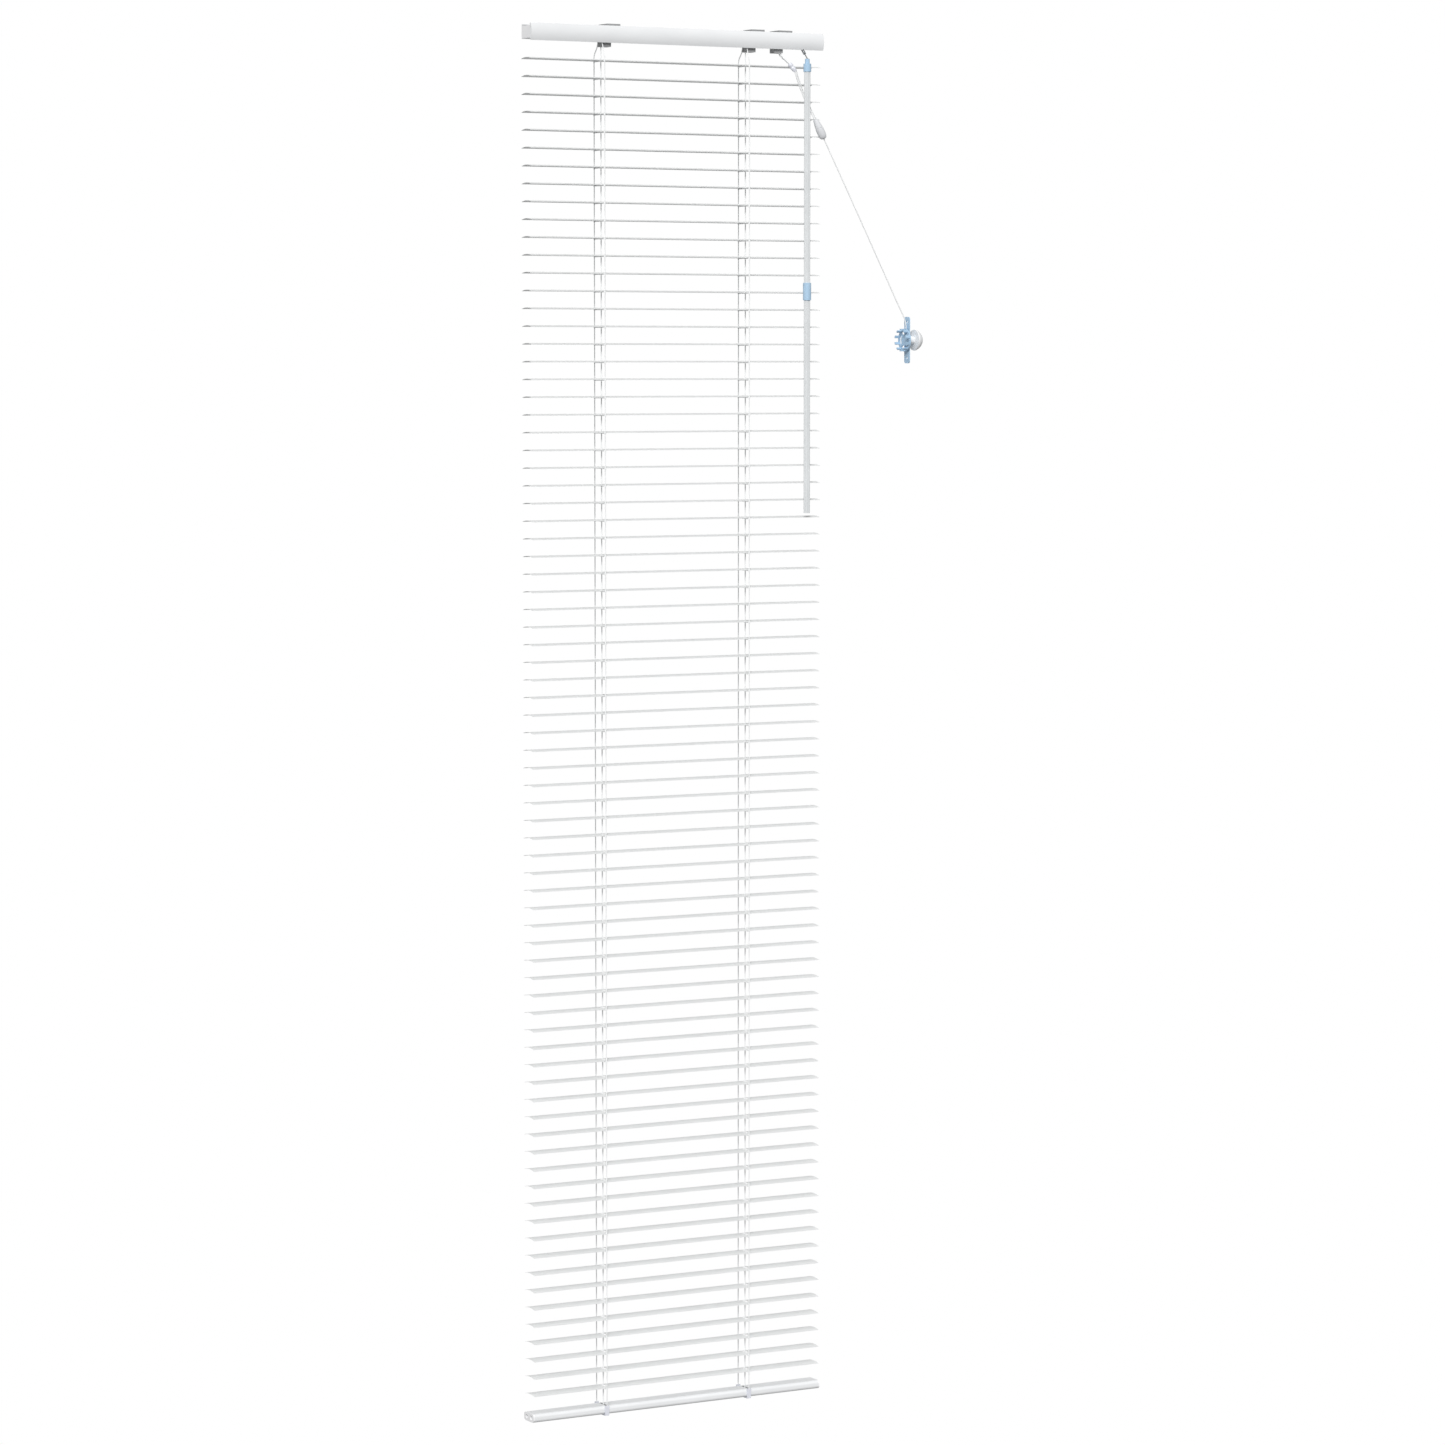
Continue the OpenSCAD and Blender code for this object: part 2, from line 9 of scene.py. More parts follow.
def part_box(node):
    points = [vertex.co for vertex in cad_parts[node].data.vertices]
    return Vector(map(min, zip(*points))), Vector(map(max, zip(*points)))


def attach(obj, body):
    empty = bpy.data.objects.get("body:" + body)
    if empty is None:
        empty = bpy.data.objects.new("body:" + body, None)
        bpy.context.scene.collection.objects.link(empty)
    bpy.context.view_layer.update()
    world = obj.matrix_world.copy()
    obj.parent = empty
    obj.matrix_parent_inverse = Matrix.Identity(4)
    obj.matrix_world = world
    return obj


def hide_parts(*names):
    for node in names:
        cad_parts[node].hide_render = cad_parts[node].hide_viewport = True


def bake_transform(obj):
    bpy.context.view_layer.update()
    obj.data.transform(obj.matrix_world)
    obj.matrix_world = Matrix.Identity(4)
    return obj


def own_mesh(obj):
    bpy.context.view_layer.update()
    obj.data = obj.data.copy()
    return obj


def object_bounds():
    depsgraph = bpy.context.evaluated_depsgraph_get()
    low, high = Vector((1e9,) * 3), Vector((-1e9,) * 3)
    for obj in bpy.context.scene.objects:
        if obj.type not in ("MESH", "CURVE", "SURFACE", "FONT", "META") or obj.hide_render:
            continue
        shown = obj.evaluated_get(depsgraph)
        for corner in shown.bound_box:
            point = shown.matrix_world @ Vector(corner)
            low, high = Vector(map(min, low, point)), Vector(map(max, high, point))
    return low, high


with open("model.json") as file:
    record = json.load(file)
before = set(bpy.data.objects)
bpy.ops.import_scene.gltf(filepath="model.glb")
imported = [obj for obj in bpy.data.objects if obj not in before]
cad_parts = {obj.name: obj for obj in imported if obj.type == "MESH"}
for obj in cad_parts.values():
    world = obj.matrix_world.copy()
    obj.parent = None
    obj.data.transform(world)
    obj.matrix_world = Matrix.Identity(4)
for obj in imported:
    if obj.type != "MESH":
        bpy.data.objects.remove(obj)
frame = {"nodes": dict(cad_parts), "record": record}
cad_low, cad_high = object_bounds()

MM = 0.001

# ---- the blind's own sizes, worked out from the frame ----

HEAD_LOW = Vector(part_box("headrail")[0])
LAST_LOW, LAST_HIGH = (Vector(c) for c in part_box("slat_77"))
PREVIOUS_LOW = Vector(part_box("slat_76")[0])
FOOT_LOW, FOOT_HIGH = (Vector(c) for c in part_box("bottom_rail"))
WAND_LOW, WAND_HIGH = (Vector(c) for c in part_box("wand_upper"))

SLATS = 77
MOVING = 8
FIXED = SLATS - MOVING
PITCH = PREVIOUS_LOW.z - LAST_LOW.z
SLAT_LENGTH = LAST_HIGH.x - LAST_LOW.x
SLAT_DEPTH = LAST_HIGH.y - LAST_LOW.y
SLAT_X = (LAST_LOW.x + LAST_HIGH.x) / 2
SLAT_Y = (LAST_LOW.y + LAST_HIGH.y) / 2
SLAT_THICK = 0.25 * MM
CROWN = 1.6 * MM
CORNER = 3 * MM
SLOT = (4 * MM, 12 * MM)

STRING_THICK = 1.2 * MM
STRING_X = [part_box("ladder_front")[0][0] + STRING_THICK / 2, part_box("ladder_front")[1][0] - STRING_THICK / 2]
LIFT_X = [x + 2 * MM for x in STRING_X]
STRING_REACH = SLAT_DEPTH / 2 + 0.9 * MM
RUNG_THICK = 0.8 * MM
KNOT_REACH = 1.5 * MM
DRUM_GAP = 0.7 * MM
STRING_EXIT_FRONT, STRING_EXIT_BACK = -8.9 * MM, 5.6 * MM
CORD_THICK = 1.4 * MM
CRADLE_FOOT_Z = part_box("cradle_left")[0][2]
FLARE_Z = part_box("ladder_tops")[0][2]
LOW_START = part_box("ladder_front_low")[1][2]
FOOT_Z = (FOOT_LOW.z + FOOT_HIGH.z) / 2


def slat_height(number):
    """Height of a slat's two long edges; the first slat is number 1."""
    return LAST_LOW.z + PITCH * (SLATS - number)


# ---- small helpers ----

def clear_selection():
    if bpy.context.object and bpy.context.object.mode != "OBJECT":
        bpy.ops.object.mode_set(mode="OBJECT")
    bpy.ops.object.select_all(action="DESELECT")


def pick(obj):
    clear_selection()
    obj.select_set(True)
    bpy.context.view_layer.objects.active = obj


def settle(obj, name):
    """Names a piece and puts its place into its mesh, so that its object sits at the origin."""
    pick(obj)
    bpy.ops.object.transform_apply(location=True, rotation=True, scale=True)
    obj.name = name
    obj.data.name = name
    return obj


def apply_modifiers(obj):
    pick(obj)
    for modifier in list(obj.modifiers):
        bpy.ops.object.modifier_apply(modifier=modifier.name)


def copy_piece(obj, name, shift=(0, 0, 0)):
    twin = obj.copy()
    twin.data = obj.data.copy()
    twin.name = name
    twin.data.name = name
    bpy.context.scene.collection.objects.link(twin)
    twin.data.transform(Matrix.Translation(Vector(shift)))
    return twin


def join(pieces, name):
    clear_selection()
    for piece in pieces:
        piece.select_set(True)
    bpy.context.view_layer.objects.active = pieces[0]
    bpy.ops.object.join()
    return settle(pieces[0], name)


def box_piece(low, high):
    bpy.ops.mesh.primitive_cube_add(size=1, location=(Vector(low) + Vector(high)) / 2)
    obj = bpy.context.object
    obj.scale = Vector(high) - Vector(low)
    bpy.ops.object.transform_apply(location=True, rotation=True, scale=True)
    return obj


def rod_piece(a, b, radius, sides=24, radius_end=None):
    a, b = Vector(a), Vector(b)
    bpy.ops.mesh.primitive_cone_add(vertices=sides, radius1=radius, radius2=radius_end or radius,
                                    depth=(b - a).length, location=(a + b) / 2)
    obj = bpy.context.object
    obj.rotation_mode = "QUATERNION"
    obj.rotation_quaternion = (b - a).to_track_quat("Z", "Y")
    bpy.ops.object.transform_apply(location=True, rotation=True, scale=True)
    return obj


def smooth(obj, angle=35):
    pick(obj)
    bpy.ops.object.shade_smooth_by_angle(angle=math.radians(angle))


def cut(obj, cutters):
    for cutter in cutters:
        modifier = obj.modifiers.new("cut", "BOOLEAN")
        modifier.operation = "DIFFERENCE"
        modifier.solver = "EXACT"
        modifier.object = cutter
        apply_modifiers(obj)
        bpy.data.objects.remove(cutter)


def turned(name, axis_point, direction, profile, steps=40):
    """A turned piece: the profile's (radius, height) points are spun about the axis."""
    mesh = bpy.data.meshes.new(name)
    mesh.from_pydata([(r, 0, h) for r, h in profile], [(i, i + 1) for i in range(len(profile) - 1)], [])
    obj = bpy.data.objects.new(name, mesh)
    bpy.context.scene.collection.objects.link(obj)
    pick(obj)
    bpy.ops.object.mode_set(mode="EDIT")
    bpy.ops.mesh.select_all(action="SELECT")
    bpy.ops.mesh.spin(steps=steps, angle=math.tau, center=(0, 0, 0), axis=(0, 0, 1))
    bpy.ops.mesh.select_all(action="SELECT")
    bpy.ops.mesh.remove_doubles(threshold=0.00001)
    bpy.ops.mesh.normals_make_consistent(inside=False)
    bpy.ops.object.mode_set(mode="OBJECT")
    turn = Vector(direction).to_track_quat("Z", "Y").to_matrix().to_4x4()
    obj.data.transform(Matrix.Translation(Vector(axis_point)) @ turn)
    return obj


def line_curve(name, points, thick, radii=None, kind="POLY"):
    """A round cord along a list of points, as a curve."""
    data = bpy.data.curves.new(name, "CURVE")
    data.dimensions = "3D"
    data.bevel_depth = thick / 2
    data.bevel_resolution = 3
    data.use_fill_caps = True
    data.resolution_u = 8
    spline = data.splines.new(kind)
    if kind == "POLY":
        spline.points.add(len(points) - 1)
        for i, p in enumerate(points):
            spline.points[i].co = (*p, 1)
            spline.points[i].radius = radii[i] if radii else 1
    else:
        spline.bezier_points.add(len(points) - 1)
        for i, p in enumerate(points):
            spline.bezier_points[i].co = p
            spline.bezier_points[i].handle_left_type = "AUTO"
            spline.bezier_points[i].handle_right_type = "AUTO"
    obj = bpy.data.objects.new(name, data)
    bpy.context.scene.collection.objects.link(obj)
    return obj


def to_mesh(obj):
    pick(obj)
    bpy.ops.object.convert(target="MESH")
    obj = bpy.context.object
    obj.data.name = obj.name
    for polygon in obj.data.polygons:
        polygon.use_smooth = True
    return obj


# ---- materials ----

def new_material(name):
    material = bpy.data.materials.new(name)
    material.use_nodes = True
    nodes = material.node_tree.nodes
    return material, nodes, material.node_tree.links, nodes["Principled BSDF"]


def add_noise(nodes, links, scale, detail=3.0, stretch=(1, 1, 1)):
    place = nodes.new("ShaderNodeTexCoord")
    mapping = nodes.new("ShaderNodeMapping")
    mapping.inputs["Scale"].default_value = stretch
    noise = nodes.new("ShaderNodeTexNoise")
    noise.inputs["Scale"].default_value = scale
    noise.inputs["Detail"].default_value = detail
    links.new(place.outputs["Object"], mapping.inputs["Vector"])
    links.new(mapping.outputs["Vector"], noise.inputs["Vector"])
    return noise


def tinted(nodes, links, noise, dark, light, target):
    ramp = nodes.new("ShaderNodeValToRGB")
    ramp.color_ramp.elements[0].position = 0.3
    ramp.color_ramp.elements[1].position = 0.7
    ramp.color_ramp.elements[0].color = (*dark, 1)
    ramp.color_ramp.elements[1].color = (*light, 1)
    links.new(noise.outputs["Fac"], ramp.inputs["Fac"])
    links.new(ramp.outputs["Color"], target)


def ranged(nodes, links, noise, low, high, target):
    spread = nodes.new("ShaderNodeMapRange")
    spread.inputs["To Min"].default_value = low
    spread.inputs["To Max"].default_value = high
    links.new(noise.outputs["Fac"], spread.inputs["Value"])
    links.new(spread.outputs["Result"], target)


def bumped(nodes, links, height, strength, distance, shader):
    bump = nodes.new("ShaderNodeBump")
    bump.inputs["Strength"].default_value = strength
    bump.inputs["Distance"].default_value = distance
    links.new(height, bump.inputs["Height"])
    links.new(bump.outputs["Normal"], shader.inputs["Normal"])


def enamel(name, dark, light, roughness):
    """Baked enamel on rolled aluminium: faint mottling, and an orange peel drawn out along the strip."""
    material, nodes, links, shader = new_material(name)
    mottling = add_noise(nodes, links, 60, 2, (0.3, 1, 1))
    tinted(nodes, links, mottling, dark, light, shader.inputs["Base Color"])
    peel = add_noise(nodes, links, 900, 3, (0.25, 1, 1))
    ranged(nodes, links, peel, roughness - 0.04, roughness + 0.05, shader.inputs["Roughness"])
    bumped(nodes, links, peel.outputs["Fac"], 0.06, 0.00008, shader)
    shader.inputs["Coat Weight"].default_value = 0.12
    shader.inputs["Coat Roughness"].default_value = 0.22
    return material


def moulded(name, dark, light, roughness, grain=1400, transmission=0.0, strength=0.12):
    """Moulded plastic with a fine spark-eroded grain; the clear ones let light through."""
    material, nodes, links, shader = new_material(name)
    tinted(nodes, links, add_noise(nodes, links, 45, 3), dark, light, shader.inputs["Base Color"])
    fine = add_noise(nodes, links, grain, 2)
    ranged(nodes, links, fine, roughness - 0.05, roughness + 0.06, shader.inputs["Roughness"])
    bumped(nodes, links, fine.outputs["Fac"], strength, 0.0001, shader)
    shader.inputs["Transmission Weight"].default_value = transmission
    shader.inputs["IOR"].default_value = 1.46
    return material


def drawn_steel(name):
    material, nodes, links, shader = new_material(name)
    shader.inputs["Metallic"].default_value = 1.0
    tinted(nodes, links, add_noise(nodes, links, 300, 3, (0.1, 1, 1)), (0.34, 0.35, 0.36), (0.55, 0.56, 0.57),
           shader.inputs["Base Color"])
    ranged(nodes, links, add_noise(nodes, links, 700, 3, (0.1, 1, 1)), 0.25, 0.42, shader.inputs["Roughness"])
    return material


def braid(name, dark, light):
    """Braided polyester: two sets of slanting strands, seen as fine crossing waves."""
    material, nodes, links, shader = new_material(name)
    place = nodes.new("ShaderNodeTexCoord")
    heights = []
    for slant in (-1, 1):
        mapping = nodes.new("ShaderNodeMapping")
        mapping.inputs["Rotation"].default_value = (slant * math.radians(35), slant * math.radians(35), 0)
        wave = nodes.new("ShaderNodeTexWave")
        wave.bands_direction = "Z"
        wave.inputs["Scale"].default_value = 420
        wave.inputs["Distortion"].default_value = 0.4
        links.new(place.outputs["Object"], mapping.inputs["Vector"])
        links.new(mapping.outputs["Vector"], wave.inputs["Vector"])
        heights.append(wave)
    both = nodes.new("ShaderNodeMath")
    both.operation = "MAXIMUM"
    links.new(heights[0].outputs["Fac"], both.inputs[0])
    links.new(heights[1].outputs["Fac"], both.inputs[1])
    ramp = nodes.new("ShaderNodeValToRGB")
    ramp.color_ramp.elements[0].color = (*dark, 1)
    ramp.color_ramp.elements[1].color = (*light, 1)
    links.new(both.outputs["Value"], ramp.inputs["Fac"])
    links.new(ramp.outputs["Color"], shader.inputs["Base Color"])
    bumped(nodes, links, both.outputs["Value"], 0.5, 0.0002, shader)
    shader.inputs["Roughness"].default_value = 0.75
    shader.inputs["Sheen Weight"].default_value = 0.25
    return material


SLAT_ENAMEL = enamel("slat_enamel", (0.78, 0.79, 0.79), (0.82, 0.83, 0.83), 0.36)
RAIL_ENAMEL = enamel("rail_enamel", (0.78, 0.79, 0.8), (0.82, 0.83, 0.84), 0.3)
GREY_PLASTIC = moulded("grey_plastic", (0.27, 0.275, 0.28), (0.33, 0.335, 0.34), 0.5)
CAP_PLASTIC = moulded("cap_plastic", (0.86, 0.86, 0.87), (0.92, 0.92, 0.93), 0.45)
WHITE_PLASTIC = moulded("white_plastic", (0.8, 0.81, 0.82), (0.87, 0.88, 0.89), 0.32)
CONDENSER_PLASTIC = moulded("condenser_plastic", (0.66, 0.67, 0.69), (0.76, 0.77, 0.79), 0.3)
BLUE_PLASTIC = moulded("blue_plastic", (0.42, 0.62, 0.82), (0.5, 0.69, 0.87), 0.25, transmission=0.15)
LILAC_PLASTIC = moulded("lilac_plastic", (0.8, 0.82, 0.9), (0.87, 0.88, 0.94), 0.25, transmission=0.2)
WAND_PLASTIC = moulded("wand_plastic", (0.72, 0.74, 0.75), (0.78, 0.8, 0.81), 0.22,
                       transmission=0.1, strength=0.03)
DRAWN_STEEL = drawn_steel("drawn_steel")
BRAID = braid("braided_cord", (0.74, 0.75, 0.76), (0.9, 0.91, 0.91))

SLOTS = {
    "painted_aluminium": SLAT_ENAMEL, "grey_plastic": GREY_PLASTIC, "white_plastic": WHITE_PLASTIC,
    "clear_plastic": WAND_PLASTIC, "condenser_plastic": CONDENSER_PLASTIC, "blue_plastic": BLUE_PLASTIC,
    "lilac_plastic": LILAC_PLASTIC, "steel": DRAWN_STEEL, "cord": BRAID,
}


def finish_with(obj, material):
    obj.data.materials.clear()
    obj.data.materials.append(material)


def dress_cad_nodes():
    for part in frame["record"]["subparts"]:
        node = frame["nodes"][part["node"]]
        node.data.materials.clear()
        node.data.materials.append(SLOTS[part["material_slot"]])
    for name in ("headrail", "front_cover", "bottom_rail"):
        frame["nodes"][name].data.materials[0] = RAIL_ENAMEL
    for name in ("end_cap_left", "end_cap_right", "rail_cap_left", "rail_cap_right"):
        frame["nodes"][name].data.materials[0] = CAP_PLASTIC


# ---- camera ----

def make_camera():
    """Looks from the front left, level with the upper third of the blind, and tips down to take it all in."""
    data = bpy.data.cameras.new("camera")
    camera = bpy.data.objects.new("camera", data)
    bpy.context.scene.collection.objects.link(camera)
    bpy.context.scene.camera = camera
    data.sensor_width = 36
    data.lens = 119.05
    data.clip_end = 1000
    camera.location = (-2.7925, -5.0635, -0.393)
    sideways, dip = math.radians(29.5), math.radians(4.272)
    camera.rotation_euler = (math.pi / 2 - dip, 0, -sideways)


# ---- slats ----

def make_slat():
    """The lowest slat: an edge spun into a crowned strip, its corners trimmed, slotted for the lift cords."""
    radius = ((SLAT_DEPTH / 2) ** 2 + CROWN ** 2) / (2 * CROWN)
    half_turn = math.asin(SLAT_DEPTH / 2 / radius)
    edge_z = LAST_LOW.z + SLAT_THICK
    centre = Vector((SLAT_X, SLAT_Y, edge_z + CROWN - radius))
    mesh = bpy.data.meshes.new("slat")
    lengths = 12
    xs = [LAST_LOW.x + SLAT_LENGTH * i / lengths for i in range(lengths + 1)]
    edge = [(x, SLAT_Y - SLAT_DEPTH / 2, edge_z) for x in xs]
    mesh.from_pydata(edge, [(i, i + 1) for i in range(lengths)], [])
    slat = bpy.data.objects.new("slat", mesh)
    bpy.context.scene.collection.objects.link(slat)
    pick(slat)
    bpy.ops.object.mode_set(mode="EDIT")
    bpy.ops.mesh.select_all(action="SELECT")
    bpy.ops.mesh.spin(steps=10, angle=2 * half_turn, center=centre, axis=(1, 0, 0))
    bpy.ops.mesh.select_all(action="SELECT")
    bpy.ops.mesh.remove_doubles(threshold=0.000001)
    bpy.ops.mesh.normals_make_consistent(inside=False)
    bpy.ops.object.mode_set(mode="OBJECT")
    if slat.data.polygons[0].normal.z < 0:
        pick(slat)
        bpy.ops.object.mode_set(mode="EDIT")
        bpy.ops.mesh.select_all(action="SELECT")
        bpy.ops.mesh.flip_normals()
        bpy.ops.object.mode_set(mode="OBJECT")
    thicken = slat.modifiers.new("sheet", "SOLIDIFY")
    thicken.thickness = SLAT_THICK
    thicken.offset = -1
    apply_modifiers(slat)
    trim_corners(slat)
    for x in LIFT_X:
        cut(slat, [slot_cutter(x)])
    smooth(slat, 30)
    return settle(slat, "slat")


def slot_cutter(x):
    bpy.ops.mesh.primitive_cylinder_add(vertices=24, radius=SLOT[0] / 2, depth=10 * MM,
                                        location=(x, SLAT_Y, LAST_LOW.z))
    cutter = bpy.context.object
    bpy.ops.object.transform_apply(location=True, rotation=True, scale=True)
    stretch = (SLOT[1] - SLOT[0]) / 2
    for v in cutter.data.vertices:
        v.co.y += math.copysign(stretch, v.co.y - SLAT_Y) if abs(v.co.y - SLAT_Y) > 1e-6 else 0
    return cutter


def trim_corners(slat):
    """Keeps what lies inside a bar with rounded upright corners."""
    bar = box_piece((LAST_LOW.x, LAST_LOW.y, LAST_LOW.z - 5 * MM),
                    (LAST_HIGH.x, LAST_HIGH.y, LAST_LOW.z + 8 * MM))
    pick(bar)
    bpy.ops.object.mode_set(mode="EDIT")
    data = bmesh.from_edit_mesh(bar.data)
    for edge in data.edges:
        a, b = edge.verts
        edge.select_set(abs(a.co.z - b.co.z) > 5 * MM)
    bmesh.update_edit_mesh(bar.data)
    bpy.ops.mesh.bevel(offset=CORNER, segments=5, affect="EDGES")
    bpy.ops.object.mode_set(mode="OBJECT")
    modifier = slat.modifiers.new("trim", "BOOLEAN")
    modifier.operation = "INTERSECT"
    modifier.solver = "EXACT"
    modifier.object = bar
    apply_modifiers(slat)
    bpy.data.objects.remove(bar)


def make_rungs():
    """The cross cords under the lowest slat: two in each ladder, one each side of its side cords."""
    reach = STRING_REACH - 0.2 * MM
    height = LAST_LOW.z - RUNG_THICK / 2
    bars = []
    for x in STRING_X:
        for side in (-1, 1):
            at = x + side * 0.9 * MM
            ends = [(at, SLAT_Y - reach, height), (at, SLAT_Y + reach, height)]
            bars.append(rod_piece(*ends, RUNG_THICK / 2, 8))
    rungs = join(bars, "rungs")
    smooth(rungs, 60)
    return rungs


def place_slats():
    slat, rungs = make_slat(), make_rungs()
    for number in range(1, SLATS + 1):
        up = slat_height(number) - LAST_LOW.z
        one = copy_piece(slat, f"slat_{number:02d}_sheet", (0, 0, up))
        cross = copy_piece(rungs, f"slat_{number:02d}_rungs", (0, 0, up))
        finish_with(one, SLAT_ENAMEL)
        finish_with(cross, BRAID)
        if number > FIXED:
            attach(one, f"slat_{number}")
            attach(cross, f"slat_{number}")
            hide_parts(f"slat_{number}")
            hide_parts(f"rungs_{number}")
        else:
            for piece in (one, cross):
                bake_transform(piece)
            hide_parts("slats_upper")
            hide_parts("rungs_upper")
    bpy.data.objects.remove(slat)
    bpy.data.objects.remove(rungs)


# ---- ladders and lift cords ----

def knotted(x, y, top, bottom):
    """Points and widths of a side cord that thickens where each rung is woven into it."""
    points, widths = [(x, y, top)], [1.0]
    for number in range(1, SLATS + 1):
        z = slat_height(number) - RUNG_THICK / 2
        if bottom + KNOT_REACH < z < top - KNOT_REACH:
            points += [(x, y, z + KNOT_REACH), (x, y, z + KNOT_REACH / 3),
                       (x, y, z - KNOT_REACH / 3), (x, y, z - KNOT_REACH)]
            widths += [1.0, 1.5, 1.5, 1.0]
    return points + [(x, y, bottom)], widths + [1.0]


def side_cord(name, x, side, top, bottom):
    points, widths = knotted(x, SLAT_Y + side * STRING_REACH, top, bottom)
    cord = to_mesh(line_curve(name, points, STRING_THICK, widths))
    finish_with(cord, BRAID)
    return cord


def flared_top(name, x, side):
    """The side cord from its drum, out through the foot and down to the first slat."""
    drum_low, drum_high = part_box("drum_left")
    rod_y, rod_z = (drum_low[1] + drum_high[1]) / 2, (drum_low[2] + drum_high[2]) / 2
    reach = (drum_high[1] - drum_low[1]) / 2 + DRUM_GAP
    exit_y = SLAT_Y + (STRING_EXIT_BACK if side > 0 else STRING_EXIT_FRONT)
    end_y = SLAT_Y + side * STRING_REACH
    points = [(x, rod_y + side * reach, rod_z), (x, rod_y + side * reach, HEAD_LOW.z + 1 * MM),
              (x, exit_y, CRADLE_FOOT_Z), (x, end_y - side * 1.2 * MM, FLARE_Z + 3.4 * MM),
              (x, end_y, FLARE_Z), (x, end_y, FLARE_Z - 1 * MM)]
    cord = to_mesh(line_curve(name, points, STRING_THICK, kind="BEZIER"))
    finish_with(cord, BRAID)
    return cord


def make_ladders():
    for hand, x in zip(("left", "right"), STRING_X):
        for side, front in ((-1, "front"), (1, "back")):
            body = f"ladder_{front}"
            top = flared_top(f"ladder_{hand}_{front}_top", x, side)
            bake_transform(top)
            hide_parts("ladder_tops")
            long = side_cord(f"ladder_{hand}_{front}", x, side, FLARE_Z, LOW_START)
            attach(long, body)
            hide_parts(body)
            low = side_cord(f"ladder_{hand}_{front}_low", x, side, LOW_START, FOOT_HIGH.z - 1 * MM)
            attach(low, body)
            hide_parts(f"{body}_low")
            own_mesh(low)


def make_lift_cords():
    for hand, x in zip(("left", "right"), LIFT_X):
        route = [(x, SLAT_Y, CRADLE_FOOT_Z + 6 * MM), (x, SLAT_Y, LOW_START)]
        long = to_mesh(line_curve(f"lift_cord_{hand}", route, CORD_THICK))
        finish_with(long, BRAID)
        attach(long, "frame")
        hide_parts("lift_cords")
        end = FOOT_Z + 2 * MM
        route = [(x, SLAT_Y, LOW_START), (x, SLAT_Y, end)]
        low = to_mesh(line_curve(f"lift_cord_{hand}_low", route, CORD_THICK))
        finish_with(low, BRAID)
        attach(low, "frame")
        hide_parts("lift_cords_low")
        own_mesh(low)


# ---- pull cords ----

STRAND_ROUTE = [(143.6, -17, -15.7), (144.2, -19, -19), (147, -24, -24), (149.6, -27.8, -28.2)]
STRAND_LOWER = [(156.4, -31, -37.6), (158.2, -30.6, -42), (165, -27.8, -55), (172.5, -26.4, -69),
                (179, -27.6, -82), (184.6, -30, -94.2)]
CORD_ROUTE = [(196.6, -31, -118), (240, -31, -199), (280, -30.6, -274), (304, -30.2, -319),
              (311.6, -30, -332.6), (314.2, -30, -338.4), (315.2, -30, -344), (315.2, -30, -352.6)]


def in_metres(points):
    return [Vector(p) * MM for p in points]


def make_pull_cords():
    joiner, condenser = make_joiner(), make_condenser()
    for hand, lean in (("left", -1), ("right", 1)):
        upper = in_metres(STRAND_ROUTE)
        if lean > 0:
            upper = [p + Vector((0, 4 * MM * (1 - (upper[0].z - p.z) / (30 * MM)), 0)) for p in upper]
        lower = [p + Vector((lean * 1.0 * MM, 0, lean * 0.5 * MM)) for p in in_metres(STRAND_LOWER)]
        route = upper + lower
        strand = line_curve(f"pull_strand_{hand}_cord", route, CORD_THICK, kind="BEZIER")
        finish_with(strand, BRAID)
        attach(strand, "frame")
        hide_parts(f"pull_strand_{hand}")
    route = in_metres(CORD_ROUTE)
    pull = line_curve("pull_cord_line", route, CORD_THICK, kind="BEZIER")
    finish_with(pull, BRAID)
    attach(pull, "frame")
    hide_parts("pull_cord")


def make_joiner():
    a, b = Vector(STRAND_ROUTE[-1]) * MM, Vector(STRAND_LOWER[0]) * MM
    long = (b - a).length
    profile = [(0.8, 0), (2.2, 0.1), (2.7, 0.7), (2.9, 2), (2.9, 4.2), (2.4, 4.8), (2.4, 5.4), (2.9, 6),
               (2.9, 8.4), (2.7, 9.8)]
    end = long / MM
    points = [(r * MM, h * MM) for r, h in profile] + [(2.1 * MM, (end - 0.2) * MM), (0.8 * MM, end * MM)]
    joiner = turned("joiner_bead", a, b - a, points, 28)
    smooth(joiner, 40)
    finish_with(joiner, LILAC_PLASTIC)
    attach(joiner, "frame")
    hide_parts("cord_joiner")
    return joiner


def make_condenser():
    a, b = Vector(STRAND_LOWER[-1]) * MM, Vector(CORD_ROUTE[0]) * MM
    end = (b - a).length / MM
    profile = [(1.3, 1.0), (2.0, 0.4), (2.6, 0.7), (3.1, 2.2), (3.5, 4.2), (3.9, 6.4), (4.3, 9), (4.6, 11.4),
               (4.4, 11.7), (4.4, 12.3), (4.8, 12.6), (5, 15), (5, end - 6), (4.8, end - 4), (4.2, end - 2),
               (3, end - 0.6), (1.8, end - 0.2), (0.8, end - 0.6)]
    condenser = turned("condenser_barrel", a, b - a, [(r * MM, h * MM) for r, h in profile], 36)
    smooth(condenser, 40)
    finish_with(condenser, CONDENSER_PLASTIC)
    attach(condenser, "frame")
    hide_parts("cord_condenser")
    return condenser


# ---- wand ----

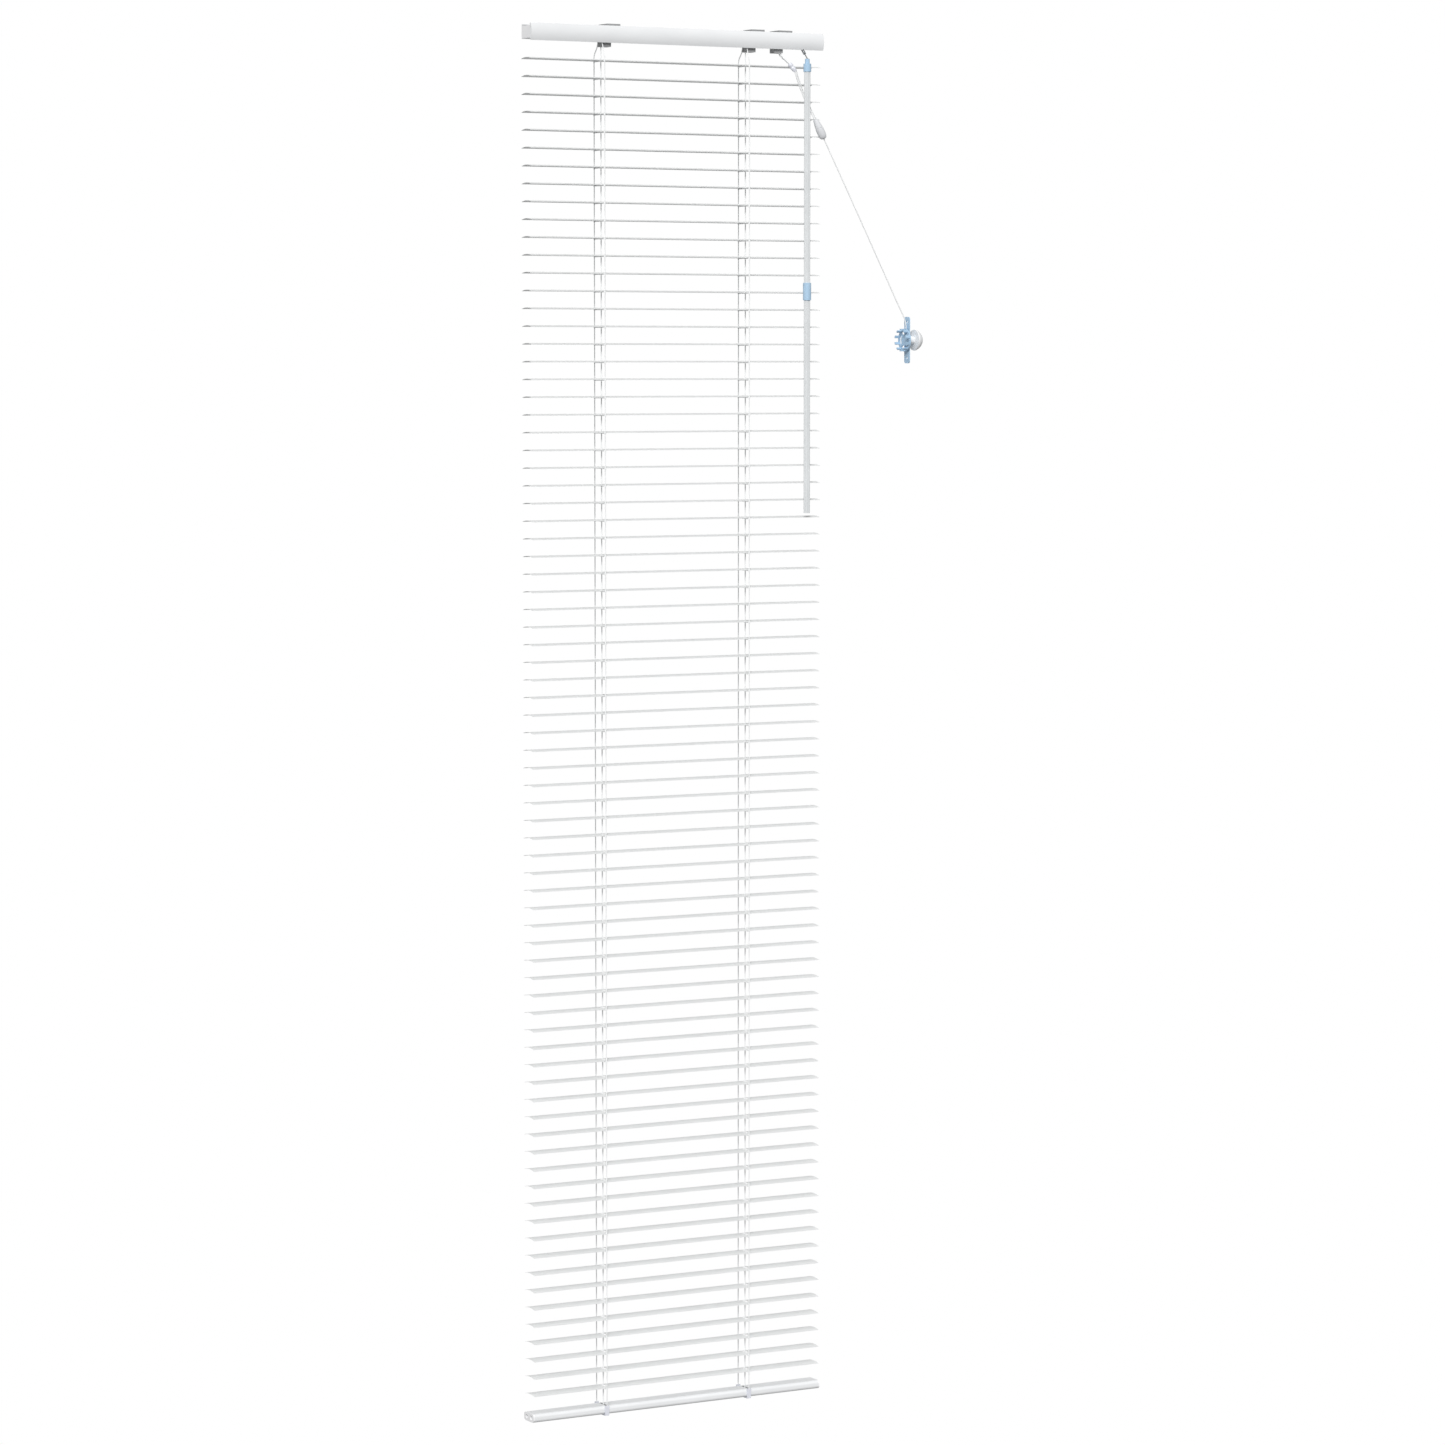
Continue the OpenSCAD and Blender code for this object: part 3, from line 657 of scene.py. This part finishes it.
def fluted_rod(name, top, bottom, centre, radius, flutes=6):
    """A wand half: six rounded ribs with shallow flutes between them."""
    steps = 8
    outline = []
    for i in range(flutes * steps):
        a = math.tau * i / (flutes * steps)
        outline.append((centre[0] + radius * (0.93 + 0.07 * math.cos(flutes * a)) * math.cos(a),
                        centre[1] + radius * (0.93 + 0.07 * math.cos(flutes * a)) * math.sin(a), top))
    mesh = bpy.data.meshes.new(name)
    mesh.from_pydata(outline, [], [tuple(range(len(outline)))])
    rod = bpy.data.objects.new(name, mesh)
    bpy.context.scene.collection.objects.link(rod)
    pick(rod)
    bpy.ops.object.mode_set(mode="EDIT")
    bpy.ops.mesh.select_all(action="SELECT")
    bpy.ops.mesh.extrude_region_move(TRANSFORM_OT_translate={"value": (0, 0, bottom - top)})
    bpy.ops.mesh.inset(thickness=0.6 * MM, depth=0)
    bpy.ops.mesh.select_all(action="SELECT")
    bpy.ops.mesh.normals_make_consistent(inside=False)
    bpy.ops.object.mode_set(mode="OBJECT")
    smooth(rod, 50)
    finish_with(rod, WAND_PLASTIC)
    return rod


def make_wand():
    axis = ((WAND_LOW.x + WAND_HIGH.x) / 2, (WAND_LOW.y + WAND_HIGH.y) / 2)
    radius = (WAND_HIGH.x - WAND_LOW.x) / 2
    for name in ("wand_upper", "wand_lower"):
        low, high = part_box(name)
        rod = fluted_rod(f"{name}_rod", high[2], low[2], axis, radius)
        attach(rod, "wand")
        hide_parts(name)


# ---- floor and light ----

def make_stage():
    bpy.ops.mesh.primitive_plane_add(size=400, location=(0, 0, cad_low[2] - 1.2))
    floor = bpy.context.object
    floor.name = "floor"
    material, nodes, links, shader = new_material("floor")
    shader.inputs["Base Color"].default_value = (0.3, 0.3, 0.3, 1)
    shader.inputs["Roughness"].default_value = 0.9
    glow = nodes.new("ShaderNodeEmission")
    seen = nodes.new("ShaderNodeLightPath")
    mix = nodes.new("ShaderNodeMixShader")
    links.new(seen.outputs["Is Camera Ray"], mix.inputs["Fac"])
    links.new(shader.outputs["BSDF"], mix.inputs[1])
    links.new(glow.outputs["Emission"], mix.inputs[2])
    links.new(mix.outputs["Shader"], nodes["Material Output"].inputs["Surface"])
    floor.data.materials.append(material)


def soft_sun(name, place, power, spread):
    """An even soft light that shines from the given place towards the blind."""
    data = bpy.data.lights.new(name, "SUN")
    data.energy = power
    data.angle = math.radians(spread)
    light = bpy.data.objects.new(name, data)
    light.location = place
    light.rotation_mode = "QUATERNION"
    light.rotation_quaternion = (-Vector(place)).to_track_quat("-Z", "Y")
    bpy.context.scene.collection.objects.link(light)


def make_light():
    """A white backdrop that lights the blind evenly, and a large soft box high in front, to the left."""
    world = bpy.data.worlds.new("studio")
    world.use_nodes = True
    nodes, links = world.node_tree.nodes, world.node_tree.links
    backdrop = nodes["Background"]
    backdrop.inputs["Color"].default_value = (1, 1, 1, 1)
    seen = nodes.new("ShaderNodeLightPath")
    level = nodes.new("ShaderNodeMapRange")
    level.inputs["To Min"].default_value = 0.56
    level.inputs["To Max"].default_value = 1.0
    links.new(seen.outputs["Is Camera Ray"], level.inputs["Value"])
    links.new(level.outputs["Result"], backdrop.inputs["Strength"])
    bpy.context.scene.world = world
    bpy.context.scene.view_settings.view_transform = "Standard"
    soft_sun("soft_box", (-2.2, -3.4, 2.6), 2.5, 20)


dress_cad_nodes()
make_camera()
make_pull_cords()
place_slats()
make_ladders()
make_lift_cords()
make_wand()
make_stage()
make_light()
